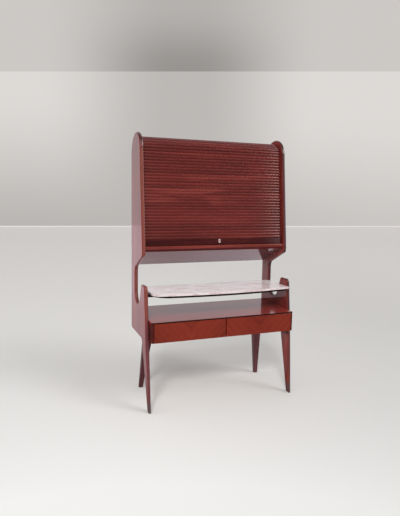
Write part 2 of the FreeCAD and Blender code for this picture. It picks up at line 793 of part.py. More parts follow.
def build():
    """All nodes by name."""
    nodes = {}
    half = INNER_X - FIT
    panels = {side: make_side_panel(side) for side in (-1, 1)}

    case, bolt, plate, pins, lock_screws, keyway = make_lock_parts()
    strike, bolt_slot, strike_screws = make_strike()
    nodes["lock_rail"] = make_lock_rail(case, pins, lock_screws, keyway)
    nodes["lock_case"] = case
    nodes["lock_bolt"] = bolt
    nodes["lock_screws"] = lock_screws
    nodes["escutcheon"] = plate
    nodes["escutcheon_pins"] = pins
    nodes["strike_plate"] = strike
    nodes["strike_screws"] = strike_screws

    slats = [make_slat(i) for i in range(FRONT_SLATS + BACK_SLATS)]
    nodes["tambour_front"] = Part.makeCompound(slats[:FRONT_SLATS])
    nodes["tambour_crown"] = Part.makeCompound(slats[FRONT_SLATS:])
    front_run = FRONT_SLATS * SLAT_PITCH
    nodes["canvas_front"] = make_canvas(0.0, front_run - 0.2, 1)
    nodes["canvas_crown"] = make_canvas(front_run + 0.2, front_run + BACK_SLATS * SLAT_PITCH, 64)

    low = FLOOR_TOP - FLOOR_T
    nosing = box(-half, half, NOSING_BACK, NOSING_FRONT, low, FLOOR_TOP)
    nose = []
    for edge in nosing.Edges:
        ends = edge.Vertexes
        if abs(ends[0].X - ends[-1].X) > 100 and abs(ends[0].Y - y_at(NOSING_FRONT)) < 0.1:
            nose.append(edge)
    nosing = nosing.makeFillet(6.0, nose).cut(strike).cut(bolt_slot).cut(strike_screws)
    nodes["cabinet_nosing"] = nosing
    nodes["cabinet_floor"] = box(-half, half, FALSE_BACK_IN, NOSING_BACK, low, FLOOR_TOP)
    nodes["cabinet_soffit"] = make_soffit()
    back_front = BACK_IN + BACK_T
    nodes["cabinet_back"] = box(-half, half, BACK_IN, back_front, BACK_LOW, BACK_HIGH)
    false_front = FALSE_BACK_IN + FALSE_BACK_T
    nodes["cabinet_inner_back"] = box(-half, half, FALSE_BACK_IN, false_front, FLOOR_TOP, CEILING_TOP)
    nodes["cabinet_ceiling"] = box(
        -half, half, false_front, CEILING_FRONT, CEILING_TOP - CEILING_T, CEILING_TOP
    )
    nodes["inner_shelf"] = box(
        -half + 1, half - 1, false_front + 1, INNER_SHELF_FRONT, INNER_SHELF_Z, INNER_SHELF_Z + INNER_SHELF_T
    )
    nodes["shelf_pins"] = make_shelf_pins()
    nodes["back_battens"] = make_back_battens()
    back_screws = make_back_screws()
    nodes["back_screws"] = back_screws
    nodes["cabinet_back"] = nodes["cabinet_back"].cut(back_screws)
    nodes["back_battens"] = nodes["back_battens"].cut(back_screws)

    dowels = make_cabinet_dowels()
    nodes["cabinet_dowels"] = dowels
    for name in ("cabinet_nosing", "cabinet_floor", "cabinet_ceiling"):
        nodes[name] = nodes[name].cut(dowels)

    nodes["marble_shelf"] = make_marble()
    board_dowels = make_board_dowels()
    nodes["marble_board"] = make_board().cut(board_dowels)
    nodes["board_dowels"] = board_dowels

    nodes["case_top"] = make_case_top()
    case_screws = make_case_screws()
    nodes["case_screws"] = case_screws
    nodes["case_side_left"] = make_case_side(-1).cut(case_screws)
    nodes["case_side_right"] = make_case_side(1).cut(case_screws)
    inner = half - CASE_SIDE_T
    case_front_in = CASE_BACK_IN + CASE_BACK_T
    under = CASE_TOP_Z - CASE_TOP_T
    floor_top = CASE_FLOOR_Z + CASE_FLOOR_T
    nodes["case_back"] = box(-inner, inner, CASE_BACK_IN, case_front_in, CASE_FLOOR_Z, under)
    nodes["case_floor"] = box(-inner, inner, case_front_in, CASE_FLOOR_FRONT, CASE_FLOOR_Z, floor_top)
    nodes["case_divider"] = box(
        -DIVIDER_T / 2, DIVIDER_T / 2, case_front_in, CASE_FLOOR_FRONT, floor_top, under
    )
    nodes["drawer_runners"] = make_runners(floor_top, floor_top + RUNNER_H)
    nodes["drawer_kickers"] = make_runners(under - KICKER_H, under)

    for side, label in ((-1, "left"), (1, "right")):
        front, wall_in, wall_out, back, floor = make_drawer(side)
        nodes["drawer_" + label + "_front"] = front
        nodes["drawer_" + label + "_inner_side"] = wall_in
        nodes["drawer_" + label + "_outer_side"] = wall_out
        nodes["drawer_" + label + "_back"] = back
        nodes["drawer_" + label + "_floor"] = floor

    studs = make_leg_studs()
    nodes["leg_studs"] = studs
    nodes["leg_blocks"] = Part.makeCompound([make_leg_block(s).cut(studs) for s in (-1, 1)])
    nodes["rear_leg_left"] = make_rear_leg(-1).cut(studs)
    nodes["rear_leg_right"] = make_rear_leg(1).cut(studs)
    nodes["leg_gussets"] = Part.makeCompound([make_gusset(s) for s in (-1, 1)])

    for side, label in ((-1, "left"), (1, "right")):
        panel = panels[side]
        for cutter in (dowels, board_dowels, case_screws, nodes["shelf_pins"]):
            panel = panel.cut(cutter)
        nodes["side_panel_" + label] = panel
    return nodes


os.makedirs("parts", exist_ok=True)
for name, shape in build().items():
    if len(shape.Solids) == 1:
        shape = shape.Solids[0]
    shape.exportStep("parts/" + name + ".step")
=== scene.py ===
import json
import math

import bmesh
import bpy
from mathutils import Matrix, Vector


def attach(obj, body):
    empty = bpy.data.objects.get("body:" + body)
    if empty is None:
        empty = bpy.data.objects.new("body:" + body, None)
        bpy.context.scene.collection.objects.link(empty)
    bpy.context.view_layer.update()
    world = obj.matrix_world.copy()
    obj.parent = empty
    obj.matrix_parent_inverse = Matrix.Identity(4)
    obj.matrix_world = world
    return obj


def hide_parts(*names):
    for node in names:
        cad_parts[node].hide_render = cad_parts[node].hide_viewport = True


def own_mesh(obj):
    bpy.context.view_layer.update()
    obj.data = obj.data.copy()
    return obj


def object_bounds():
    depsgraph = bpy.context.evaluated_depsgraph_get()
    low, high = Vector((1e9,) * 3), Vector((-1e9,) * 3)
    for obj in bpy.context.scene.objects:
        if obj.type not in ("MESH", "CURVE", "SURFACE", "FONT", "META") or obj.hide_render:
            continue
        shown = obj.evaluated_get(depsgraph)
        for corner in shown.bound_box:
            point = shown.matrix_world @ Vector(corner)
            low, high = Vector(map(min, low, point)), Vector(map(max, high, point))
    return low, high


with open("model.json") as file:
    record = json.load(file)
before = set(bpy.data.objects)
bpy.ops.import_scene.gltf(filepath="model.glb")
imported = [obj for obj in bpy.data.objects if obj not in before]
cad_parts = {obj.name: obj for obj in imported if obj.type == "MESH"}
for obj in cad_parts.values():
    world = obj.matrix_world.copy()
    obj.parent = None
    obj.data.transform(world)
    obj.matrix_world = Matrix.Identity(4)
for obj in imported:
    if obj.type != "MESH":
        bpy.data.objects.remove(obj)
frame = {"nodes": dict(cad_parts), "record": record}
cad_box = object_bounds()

# ---------------------------------------------------------------- sizes, in metres

# The CAD box gives the desk's depth and height
DEPTH = round(cad_box[1][1] - cad_box[0][1], 4)
CROWN_TOP = round(cad_box[1][2], 4)

# The side panels' outline and the slats, as in the CAD source
CROWN_MID = 0.126
FRONT_CROWN_R = 0.108
BACK_CROWN_R = 0.126
LEAN = math.radians(5.83)
RAIL_TOP = 1.031
SLAT_INSET = 0.026
SLAT_T = 0.009
SLAT_EDGE_T = 0.0056
SLAT_W = 0.0182
SLAT_HALF = 0.484
PITCH = 0.0188
FRONT_SLATS = 29
BACK_SLATS = 16
CANVAS_T = 0.0009
CANVAS_INDENT = 0.006
CANVAS_GAP = 0.0002

# The slats' mesh: steps round each face, and the short taper at each end
ARC_STEPS = 12
EASED_END = 0.0006
EASED_SHARE = 0.93
SMOOTH_ANGLE = math.radians(40)

# A sine hash gives each slat its own tone
HASH_STEP = 12.9898
HASH_START = 78.233
HASH_SPREAD = 43758.5453

# The track that the canvas follows: a leaning straight run, two arcs over the crown, then down
CANVAS_INSET = SLAT_INSET + SLAT_T
FRONT_ARC_R = FRONT_CROWN_R - CANVAS_INSET
BACK_ARC_R = BACK_CROWN_R - CANVAS_INSET
OUTLINE_DEPTH = CROWN_MID + FRONT_CROWN_R * math.cos(LEAN)
OUTLINE_Z = CROWN_TOP - FRONT_CROWN_R + FRONT_CROWN_R * math.sin(LEAN)
STRAIGHT_TOP = CROWN_TOP - FRONT_CROWN_R + FRONT_ARC_R * math.sin(LEAN)
STRAIGHT = (STRAIGHT_TOP - RAIL_TOP) / math.cos(LEAN)
FRONT_TURN = FRONT_ARC_R * (math.pi / 2 - LEAN)
BACK_TURN = BACK_ARC_R * math.pi / 2
FRONT_RUN = FRONT_SLATS * PITCH


def track(s):
    """Depth, height and outward angle on the canvas line, s up from the closed lock rail."""
    if s <= STRAIGHT:
        z = RAIL_TOP + s * math.cos(LEAN)
        return OUTLINE_DEPTH + (OUTLINE_Z - z) * math.tan(LEAN) - CANVAS_INSET / math.cos(LEAN), z, LEAN
    s -= STRAIGHT
    if s <= FRONT_TURN:
        angle = LEAN + s / FRONT_ARC_R
        z = CROWN_TOP - FRONT_CROWN_R + FRONT_ARC_R * math.sin(angle)
        return CROWN_MID + FRONT_ARC_R * math.cos(angle), z, angle
    s -= FRONT_TURN
    if s <= BACK_TURN:
        angle = math.pi / 2 + s / BACK_ARC_R
        z = CROWN_TOP - BACK_CROWN_R + BACK_ARC_R * math.sin(angle)
        return CROWN_MID + BACK_ARC_R * math.cos(angle), z, angle
    return CROWN_MID - BACK_ARC_R, CROWN_TOP - BACK_CROWN_R - (s - BACK_TURN), math.pi


def on_track(x, s, along, out):
    """The point that lies the lengths along and out from the place s on the track."""
    depth, z, angle = track(s)
    depth += out * math.cos(angle) - along * math.sin(angle)
    z += out * math.sin(angle) + along * math.cos(angle)
    return Vector((x, DEPTH / 2 - depth, z))


# ---------------------------------------------------------------- meshes

def link_new(name, data):
    obj = bpy.data.objects.new(name, data)
    bpy.context.scene.collection.objects.link(obj)
    return obj


def mesh_object(name, verts, faces, material, smooth=False, tones=None):
    mesh = bpy.data.meshes.new(name)
    mesh.from_pydata([tuple(v) for v in verts], [], faces)
    if tones:
        attribute = mesh.attributes.new("tone", "FLOAT", "POINT")
        attribute.data.foreach_set("value", tones)
    bm = bmesh.new()
    bm.from_mesh(mesh)
    bmesh.ops.recalc_face_normals(bm, faces=bm.faces)
    bm.to_mesh(mesh)
    bm.free()
    mesh.materials.append(material)
    if smooth:
        mesh.shade_smooth()
        mesh.set_sharp_from_angle(angle=SMOOTH_ANGLE)
    return link_new(name, mesh)


def slat_tone(i):
    """Number from 0 to 1 for slat i, without order but the same in each run."""
    value = math.sin(i * HASH_STEP + HASH_START) * HASH_SPREAD
    return value - math.floor(value)


def slat_profile():
    """Half-round slat section as (along, out) pairs, starting at the canvas."""
    half = SLAT_W / 2
    rise = SLAT_T - SLAT_EDGE_T
    radius = (half * half + rise * rise) / (2 * rise)
    centre = SLAT_T - radius
    reach = math.asin(half / radius)
    ring = [(half, 0.0)]
    for i in range(ARC_STEPS + 1):
        angle = reach * (1 - 2 * i / ARC_STEPS)
        ring.append((radius * math.sin(angle), centre + radius * math.cos(angle)))
    ring.append((-half, 0.0))
    return ring


def slats(name, first, count, material):
    """A run of slats as one mesh, each with its own tone and slightly eased ends."""
    ring = slat_profile()
    size = len(ring)
    eased = SLAT_HALF - EASED_END
    stations = [(-SLAT_HALF, EASED_SHARE), (-eased, 1.0), (eased, 1.0), (SLAT_HALF, EASED_SHARE)]
    end = (len(stations) - 1) * size
    verts, faces, tones = [], [], []
    for i in range(first, first + count):
        base = len(verts)
        for x, share in stations:
            for along, out in ring:
                verts.append(on_track(x, (i + 0.5) * PITCH, along * share, out * share))
                tones.append(slat_tone(i))
        for start in range(base, base + end, size):
            for j in range(size):
                a = start + j
                b = start + (j + 1) % size
                faces.append((a, b, b + size, a + size))
        faces.append(tuple(base + j for j in range(size)))
        faces.append(tuple(base + end + j for j in reversed(range(size))))
    return mesh_object(name, verts, faces, material, smooth=True, tones=tones)


def canvas_strip(name, low, high, material):
    """Flat cloth strip behind the slats, between two places on the track's straight run."""
    half = SLAT_HALF - CANVAS_INDENT
    verts = [
        on_track(x, s, 0, out)
        for s in (low, high)
        for x in (-half, half)
        for out in (0, -CANVAS_T)
    ]
    faces = [(0, 2, 6, 4), (1, 5, 7, 3), (0, 4, 5, 1), (2, 3, 7, 6), (0, 1, 3, 2), (4, 6, 7, 5)]
    return mesh_object(name, verts, faces, material)


# ---------------------------------------------------------------- shader trees

class Nodes:
    """Short calls for building the shader tree of a material or a world."""

    def __init__(self, owner):
        owner.use_nodes = True
        self.owner = owner
        self.tree = owner.node_tree
        self.tree.nodes.clear()

    def add(self, kind, **inputs):
        """New node. Inputs go by their socket's name, or by its number as i0, i1 and so on."""
        node = self.tree.nodes.new(kind)
        for key, value in inputs.items():
            self.set(node, key, value)
        return node

    def set(self, node, key, value):
        numbered = key[0] == "i" and key[1:].isdigit()
        socket = node.inputs[int(key[1:])] if numbered else node.inputs[key]
        if isinstance(value, bpy.types.NodeSocket):
            self.tree.links.new(value, socket)
        else:
            socket.default_value = value

    def math(self, op, a, b=0.0):
        node = self.add("ShaderNodeMath", i0=a, i1=b)
        node.operation = op
        return node.outputs[0]

    def vector(self, op, a, b=(0.0, 0.0, 0.0)):
        node = self.add("ShaderNodeVectorMath", i0=a, i1=b)
        node.operation = op
        return node.outputs["Value" if op in ("DOT_PRODUCT", "LENGTH") else "Vector"]

    def split(self, vector):
        return self.add("ShaderNodeSeparateXYZ", Vector=vector).outputs

    def mix(self, factor, a, b, blend="MIX"):
        """Colour a where the factor is 0 and colour b where it is 1."""
        node = self.tree.nodes.new("ShaderNodeMix")
        node.data_type = "RGBA"
        node.blend_type = blend
        self.set(node, "i0", factor)
        for key, value in (("i6", a), ("i7", b)):
            self.set(node, key, value if isinstance(value, bpy.types.NodeSocket) else (*value, 1.0))
        return node.outputs[2]

    def tint(self, body, colour, factor, strength):
        """Body with another colour laid over it where the factor is 1, at the given strength."""
        return self.mix(self.math("MULTIPLY", factor, strength), body, colour)

    def ramp(self, value, low, high, shape="SMOOTHSTEP"):
        """0 up to low and 1 from high on. Where low is the larger, it falls from 1 to 0 the other way."""
        node = self.add("ShaderNodeMapRange", Value=value)
        node.interpolation_type = shape
        node.inputs["From Min"].default_value = low
        node.inputs["From Max"].default_value = high
        return node.outputs[0]

    def place(self, kind="Object"):
        return self.add("ShaderNodeTexCoord").outputs[kind]

    def mapped(self, source, scale=(1, 1, 1), turn=(0, 0, 0), move=(0, 0, 0)):
        node = self.add("ShaderNodeMapping", Vector=source)
        node.inputs["Rotation"].default_value = turn
        node.inputs["Location"].default_value = move
        node.inputs["Scale"].default_value = scale
        return node.outputs[0]

    def noise(self, place, scale, stretch=None, detail=2.0, rough=0.5, distort=0.0):
        """Noise from 0 to 1. stretch has the extra scale along each axis."""
        node = self.add("ShaderNodeTexNoise", Vector=self.mapped(place, scale=stretch) if stretch else place)
        node.inputs["Scale"].default_value = scale
        node.inputs["Detail"].default_value = detail
        node.inputs["Roughness"].default_value = rough
        node.inputs["Distortion"].default_value = distort
        return node.outputs["Fac"]

    def bump(self, height, strength, distance):
        node = self.add("ShaderNodeBump", Height=height)
        node.inputs["Strength"].default_value = strength
        node.inputs["Distance"].default_value = distance
        return node.outputs[0]

    def output(self, shader, kind="ShaderNodeOutputMaterial"):
        self.tree.links.new(shader.outputs[0], self.add(kind).inputs["Surface"])
        return self.owner

    def finish(self, colour, **sockets):
        """Principled surface of a colour; sockets go by name, with _ for each space."""
        shader = self.add("ShaderNodeBsdfPrincipled")
        self.tree.links.new(colour, shader.inputs["Base Color"])
        for key, value in sockets.items():
            self.set(shader, key.replace("_", " "), value)
        return self.output(shader)


def material_nodes(name):
    return Nodes(bpy.data.materials.new(name))


def rgb(r, g, b):
    """Linear colour from 0-255 display values."""
    out = []
    for v in (r, g, b):
        v /= 255
        out.append(v / 12.92 if v <= 0.04045 else ((v + 0.055) / 1.055) ** 2.4)
    return tuple(out)


def grey(value):
    return (value, value, value)


def shade(colour, share):
    return tuple(c * share for c in colour)


# ---------------------------------------------------------------- wood

# Turns that lay the pattern's x along the grain
TURNS = {
    "X": (0, 0, 0),
    "Y": (0, 0, math.pi / 2),
    "Z": (0, math.pi / 2, 0),
}
VENEER_TURN = (0, math.radians(48), 0)
SEED_STEP = (1.37, 0.71, 2.13)
TONE_STEP = 9.0
GRAIN_DEPTH = 0.0004

# Layers of the figure, each drawn out along the grain, and the stains across the slats
BROAD = {"scale": 1.6, "stretch": (0.55, 5.0, 5.0), "detail": 3.0, "rough": 0.55, "distort": 0.8}
RIBBON = {"scale": 1.5, "stretch": (1.6, 34.0, 34.0), "detail": 4.0, "rough": 0.6, "distort": 0.35}
FIBRE = {"scale": 1.4, "stretch": (8.0, 420.0, 420.0), "detail": 3.0, "rough": 0.65}
PORE = {"scale": 1.0, "stretch": (26.0, 900.0, 900.0), "detail": 1.0, "rough": 0.4}
STAIN = {"scale": 1.3, "stretch": (1.0, 9.0, 9.0), "detail": 3.0, "rough": 0.55, "distort": 0.5}

# The stains are lightest around this height, and darker above and below it
STAIN_Z = 1.32
STAIN_LIGHT = rgb(124, 52, 45)
STAIN_DARK = rgb(76, 24, 22)

# Colours of the side panels' edges, by height, and of the faces near their toes. The edge colours hold
# painted shade: the legs' and the crown's edges are darker than the rest, and the right panel's edges are
# darker than the left panel's.
TOE_FACE = rgb(86, 70, 71)
EDGE_TOE = rgb(84, 66, 66)
EDGE_LEG_LEFT_SHADED = rgb(104, 58, 64)
EDGE_LEG_RIGHT_SHADED = rgb(98, 54, 51)
EDGE_LEFT = rgb(128, 68, 60)
EDGE_RIGHT_SHADED = rgb(76, 42, 44)
EDGE_CROWN_SHADED = rgb(62, 34, 35)
LEFT_EDGE_SHADING = [
    (0.05, EDGE_TOE), (0.11, EDGE_LEG_LEFT_SHADED), (0.42, EDGE_LEG_LEFT_SHADED),
    (0.62, EDGE_LEFT), (1.55, EDGE_LEFT), (1.66, EDGE_CROWN_SHADED),
]
RIGHT_EDGE_SHADING = [
    (0.05, EDGE_TOE), (0.11, EDGE_LEG_RIGHT_SHADED), (0.38, EDGE_LEG_RIGHT_SHADED),
    (0.56, EDGE_RIGHT_SHADED), (1.52, EDGE_RIGHT_SHADED), (1.62, EDGE_CROWN_SHADED),
]
# The case top's front edge is nearly black: a painted shadow line above the drawer fronts
CASE_TOP_SHADOW_EDGE = [(0.0, rgb(40, 18, 17))]


def book_matched(n, source, seam):
    """Places folded about x = seam, so that the figure mirrors there."""
    x, y, z = n.split(source)
    folded = n.math("ABSOLUTE", n.math("SUBTRACT", x, seam))
    return n.add("ShaderNodeCombineXYZ", X=folded, Y=y, Z=z).outputs[0]


def shifted(n, place, tone):
    """Places moved along the grain by the slat's tone, so that no two slats are alike."""
    shift = n.add("ShaderNodeCombineXYZ", X=n.math("MULTIPLY", tone, TONE_STEP), Y=0.0, Z=0.0)
    return n.vector("ADD", place, shift.outputs[0])


def stained(n, body):
    """Body with lighter and darker stains that run across several slats."""
    place = n.place()
    apart = n.math("ABSOLUTE", n.math("SUBTRACT", n.split(place)[2], STAIN_Z))
    darker = n.math("MULTIPLY", n.ramp(apart, 0.06, 0.30), 0.09)
    drift = n.math("SUBTRACT", n.noise(place, **STAIN), darker)
    body = n.tint(body, STAIN_LIGHT, n.ramp(drift, 0.5, 0.68), 0.85)
    return n.tint(body, STAIN_DARK, n.ramp(drift, 0.47, 0.30), 0.75)


def edged(n, body, fibre, edges, edge_axis):
    """Body with the edges' colours by height, which hold painted shade, and greyer toes."""
    normal = n.split(n.place("Normal"))
    if edge_axis is None:
        face = n.math("ABSOLUTE", normal[0])
    else:
        face = n.math("SUBTRACT", 1.0, n.math("ABSOLUTE", normal[edge_axis]))
    height = n.split(n.place())[2]
    lowest = edges[0][1]
    edge_colour = lowest
    for (low, _), (high, colour) in zip(edges, edges[1:]):
        edge_colour = n.mix(n.ramp(height, low, high), edge_colour, colour)
    # Painted shade: the edges take darker colours by height
    body = n.mix(n.ramp(face, 0.93, 0.45), body, edge_colour)
    body = n.tint(body, shade(lowest, 0.5), n.ramp(fibre, 0.4, 0.7), 0.25)
    return n.tint(body, TOE_FACE, n.ramp(height, 0.085, 0.035), 0.75)


def wood(name, grain, tones, seed, rough=0.3, coat=0.9, coat_rough=0.06, figure=1.0, relief=0.12,
         turn=None, seam=None, per_slat=False, edges=None, edge_axis=None):
    """Polished wood in three display tones, dark to light, with the grain along an axis or turned.

    figure is the strength of the ribbons and streaks, seam an x where they are book-matched, and
    per_slat gives each slat its own figure and tone, under stains that run across them.
    edges lists the board's edge colours, which hold painted shade, as (height, colour), from the lowest up.
    Edges are what looks along edge_axis or, without it, whatever doesn't look along x.
    """
    n = material_nodes(name)
    dark, mid, light = (rgb(*tone) for tone in tones)
    source = n.place()
    if seam is not None:
        source = book_matched(n, source, seam)
    place = n.mapped(source, turn=turn or TURNS[grain], move=tuple(seed * step for step in SEED_STEP))
    if per_slat:
        tone = n.add("ShaderNodeAttribute")
        tone.attribute_name = "tone"
        place = shifted(n, place, tone.outputs["Fac"])
    ribbon = n.noise(place, **RIBBON)
    fibre = n.noise(place, **FIBRE)
    pores = n.ramp(n.noise(place, **PORE), 0.66, 0.74)
    body = n.mix(n.ramp(n.noise(place, **BROAD), 0.30, 0.70), dark, mid)
    if per_slat:
        body = stained(n, body)
    body = n.tint(body, light, n.ramp(ribbon, 0.42, 0.72), 0.75 * figure)
    body = n.tint(body, shade(dark, 0.42), n.ramp(ribbon, 0.44, 0.26), 0.6 * figure)
    body = n.tint(body, light, n.ramp(fibre, 0.35, 0.75), 0.30)
    body = n.tint(body, shade(dark, 0.25), pores, 0.55)
    if per_slat:
        body = n.tint(body, light, n.ramp(tone.outputs["Fac"], 0.55, 1.0), 0.12)
        body = n.tint(body, shade(dark, 0.7), n.ramp(tone.outputs["Fac"], 0.45, 0.0), 0.12)
    if edges:
        body = edged(n, body, fibre, edges, edge_axis)
    height = n.math("SUBTRACT", n.math("MULTIPLY", fibre, 0.4), n.math("MULTIPLY", pores, 0.8))
    return n.finish(
        body,
        Roughness=n.math("ADD", n.math("MULTIPLY", ribbon, 0.12), rough - 0.06),
        Normal=n.bump(height, relief, GRAIN_DEPTH),
        Specular_IOR_Level=0.1,
        Coat_Weight=coat,
        Coat_Roughness=coat_rough,
        Coat_IOR=1.5,
    )


# ---------------------------------------------------------------- other materials

BRUSH_DEPTH = 0.0002
WEAVE_DEPTH = 0.0004

# Radians of the canvas's weave in a metre, 2 pi for each two threads
THREAD_TURNS = 5200.0


def marble():
    """White marble with pink veins and blotches, and painted shade that darkens its edges slightly."""
    n = material_nodes("marble")
    place = n.mapped(n.place(), turn=(0, 0, 0.35))
    cloud = n.noise(place, 3.2, detail=5.0, rough=0.55, distort=0.8)
    warp = n.noise(place, 2.4, stretch=(1.2, 3.4, 3.0), detail=6.0, rough=0.62, distort=1.6)
    fine = n.noise(place, 6.5, stretch=(1.5, 4.5, 4.0), detail=6.0, rough=0.6, distort=1.1)
    blotch = n.noise(place, 5.0, stretch=(1.0, 2.5, 2.0), detail=3.0, distort=0.5)
    vein = n.math("ABSOLUTE", n.math("SUBTRACT", warp, 0.5))
    fine_vein = n.math("ABSOLUTE", n.math("SUBTRACT", fine, 0.5))
    body = n.mix(n.ramp(cloud, 0.35, 0.7), rgb(253, 246, 247), rgb(242, 228, 228))
    body = n.tint(body, rgb(190, 142, 138), n.ramp(vein, 0.05, 0.0), 0.42)
    body = n.tint(body, rgb(176, 156, 156), n.ramp(fine_vein, 0.03, 0.0), 0.25)
    body = n.tint(body, rgb(206, 168, 160), n.ramp(blotch, 0.58, 0.75), 0.45)
    # Painted shade: the slab's edges, away from its flat top, are darkened slightly
    level = n.math("ABSOLUTE", n.split(n.place("Normal"))[2])
    body = n.mix(n.ramp(level, 0.9, 0.3), body, (0.78, 0.75, 0.75), "MULTIPLY")
    rough = n.math("ADD", n.math("MULTIPLY", cloud, 0.12), 0.16)
    return n.finish(body, Roughness=rough, Coat_Weight=0.3, Coat_Roughness=0.06)


def metal(name, colour, worn, rough, metallic=1.0):
    """Brushed metal in display colours, with a worn tone in patches."""
    n = material_nodes(name)
    place = n.place()
    patina = n.noise(place, 240.0, detail=4.0, rough=0.6)
    brushed = n.noise(place, 1.0, stretch=(60.0, 2600.0, 2600.0))
    body = n.mix(n.ramp(patina, 0.4, 0.7), rgb(*colour), rgb(*worn))
    roughness = n.math("ADD", n.math("MULTIPLY", brushed, 0.18), rough)
    return n.finish(body, Metallic=metallic, Roughness=roughness, Normal=n.bump(brushed, 0.05, BRUSH_DEPTH))


def cloth():
    """Plain-woven canvas, a little soiled."""
    n = material_nodes("canvas_cloth")
    place = n.place()
    x, _, z = n.split(place)
    warp = n.math("SINE", n.math("MULTIPLY", x, THREAD_TURNS))
    weft = n.math("SINE", n.math("MULTIPLY", z, THREAD_TURNS))
    weave = n.math("MULTIPLY", warp, weft)
    soil = n.noise(place, 14.0, detail=4.0)
    body = n.mix(n.ramp(soil, 0.35, 0.7), rgb(196, 184, 158), rgb(168, 154, 128))
    body = n.tint(body, rgb(120, 108, 88), n.ramp(weave, -0.2, -0.9), 0.45)
    return n.finish(body, Roughness=0.92, Normal=n.bump(weave, 0.4, WEAVE_DEPTH), Sheen_Weight=0.2)


# ---------------------------------------------------------------- finishes of the nodes

PANEL_TONES = ((104, 29, 23), (134, 41, 33), (158, 63, 49))
# Painted shade: the rear legs' wood is darkened and greyed as under the case, the left leg more
LEFT_LEG_SHADED_TONES = ((58, 29, 32), (78, 41, 44), (97, 54, 56))
RIGHT_LEG_SHADED_TONES = ((80, 46, 50), (106, 63, 67), (126, 78, 81))
SLAT_TONES = ((76, 22, 19), (102, 34, 30), (130, 50, 42))
RAIL_TONES = ((42, 7, 8), (60, 13, 14), (80, 24, 23))
NOSING_TONES = ((90, 30, 25), (114, 43, 36), (136, 60, 50))
SOFFIT_TONES = ((62, 12, 12), (78, 16, 16), (98, 26, 24))
CASE_TOP_TONES = ((132, 42, 38), (148, 50, 44), (170, 68, 60))
# Painted shade: the case's wood is darkened to near black-red
CASE_SHADED_TONES = ((48, 13, 12), (72, 21, 18), (98, 36, 28))
VENEER_TONES = ((94, 24, 14), (120, 37, 24), (146, 58, 35))
INNER_TONES = ((122, 78, 48), (152, 104, 66), (180, 134, 90))
DRAWER_TONES = ((150, 110, 70), (178, 138, 94), (200, 164, 120))
BLACK_TONES = ((8, 4, 4), (14, 8, 7), (22, 14, 12))
DRAWER_MID = 0.2325

slat_wood = wood("slat_wood", "X", SLAT_TONES, 4, rough=0.34, coat_rough=0.08, figure=0.3, relief=0.03,
                 per_slat=True)
# The case sides, divider and leg gussets carry painted shade, as for the box's shadowed sides
shaded_case_wood = wood("shaded_case_wood", "Y", CASE_SHADED_TONES, 9, coat=0.4)
# The rear legs and leg blocks carry painted shade, deeper on the left
shaded_left_leg_wood = wood("leg_wood_left_painted_shade", "Z", LEFT_LEG_SHADED_TONES, 3, rough=0.4, coat=0.4, figure=0.5)
shaded_right_leg_wood = wood("leg_wood_right_painted_shade", "Z", RIGHT_LEG_SHADED_TONES, 3, rough=0.4, coat=0.4, figure=0.5)
drawer_cross_wood = wood("drawer_cross_wood", "X", DRAWER_TONES, 15, rough=0.5, coat=0.05)
canvas_cloth = cloth()

FINISH = {
    "side_panel_left": wood("panel_wood_left", "Z", PANEL_TONES, 1, edges=LEFT_EDGE_SHADING),
    "side_panel_right": wood("panel_wood_right", "Z", PANEL_TONES, 2, edges=RIGHT_EDGE_SHADING),
    "cabinet_nosing": wood("nosing_wood", "X", NOSING_TONES, 6),
    "cabinet_soffit": wood("soffit_wood", "X", SOFFIT_TONES, 7, coat=0.85, figure=0.5),
    "lock_rail": wood("rail_wood", "X", RAIL_TONES, 5),
    "escutcheon": metal("escutcheon_plate", (232, 200, 204), (190, 156, 160), 0.42, metallic=0.45),
    "marble_shelf": marble(),
    "marble_board": wood("black_wood", "X", BLACK_TONES, 14, rough=0.4, coat=0.2),
    "case_top": wood("top_wood", "X", CASE_TOP_TONES, 8, coat=0.8, coat_rough=0.08, figure=0.6, relief=0.05,
                     edges=CASE_TOP_SHADOW_EDGE, edge_axis=1),
    "case_side_left": shaded_case_wood,
    "case_side_right": shaded_case_wood,
    "case_divider": shaded_case_wood,
    "drawer_left_front": wood("front_veneer_left", "X", VENEER_TONES, 10, figure=0.45,
                              turn=VENEER_TURN, seam=-DRAWER_MID),
    "drawer_right_front": wood("front_veneer_right", "X", VENEER_TONES, 11, figure=0.45,
                               turn=VENEER_TURN, seam=DRAWER_MID),
    "drawer_left_back": drawer_cross_wood,
    "drawer_right_back": drawer_cross_wood,
    "rear_leg_left": shaded_left_leg_wood,
    "rear_leg_right": shaded_right_leg_wood,
    "leg_gussets": shaded_case_wood,
    "leg_blocks": shaded_left_leg_wood,
}
SLOT_FINISH = {
    "inner_wood": wood("inner_wood", "X", INNER_TONES, 12, rough=0.45, coat=0.1),
    "drawer_wood": wood("drawer_wood", "Y", DRAWER_TONES, 13, rough=0.5, coat=0.05),
    "brass": metal("aged_brass", (168, 140, 132), (120, 98, 92), 0.3),
    "steel": metal("plain_steel", (170, 168, 164), (130, 126, 120), 0.35),
    "canvas": canvas_cloth,
    "tambour_wood": slat_wood,
}

slot_of = {entry["node"]: entry["material_slot"] for entry in frame["record"]["subparts"]}
for name, node in frame["nodes"].items():
    node.data.materials.clear()
    node.data.materials.append(FINISH.get(name) or SLOT_FINISH[slot_of[name]])

# ---------------------------------------------------------------- pieces made here

front_slats = slats("front_slats", 0, FRONT_SLATS, slat_wood)
crown_slats = slats("crown_slats", FRONT_SLATS, BACK_SLATS, slat_wood)
front_cloth = canvas_strip("front_cloth", 0.0, FRONT_RUN - CANVAS_GAP, canvas_cloth)
replaced = {"tambour_front": front_slats, "tambour_crown": crown_slats, "canvas_front": front_cloth}
for node, piece in replaced.items():
    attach(piece, "desk")
    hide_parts(node)

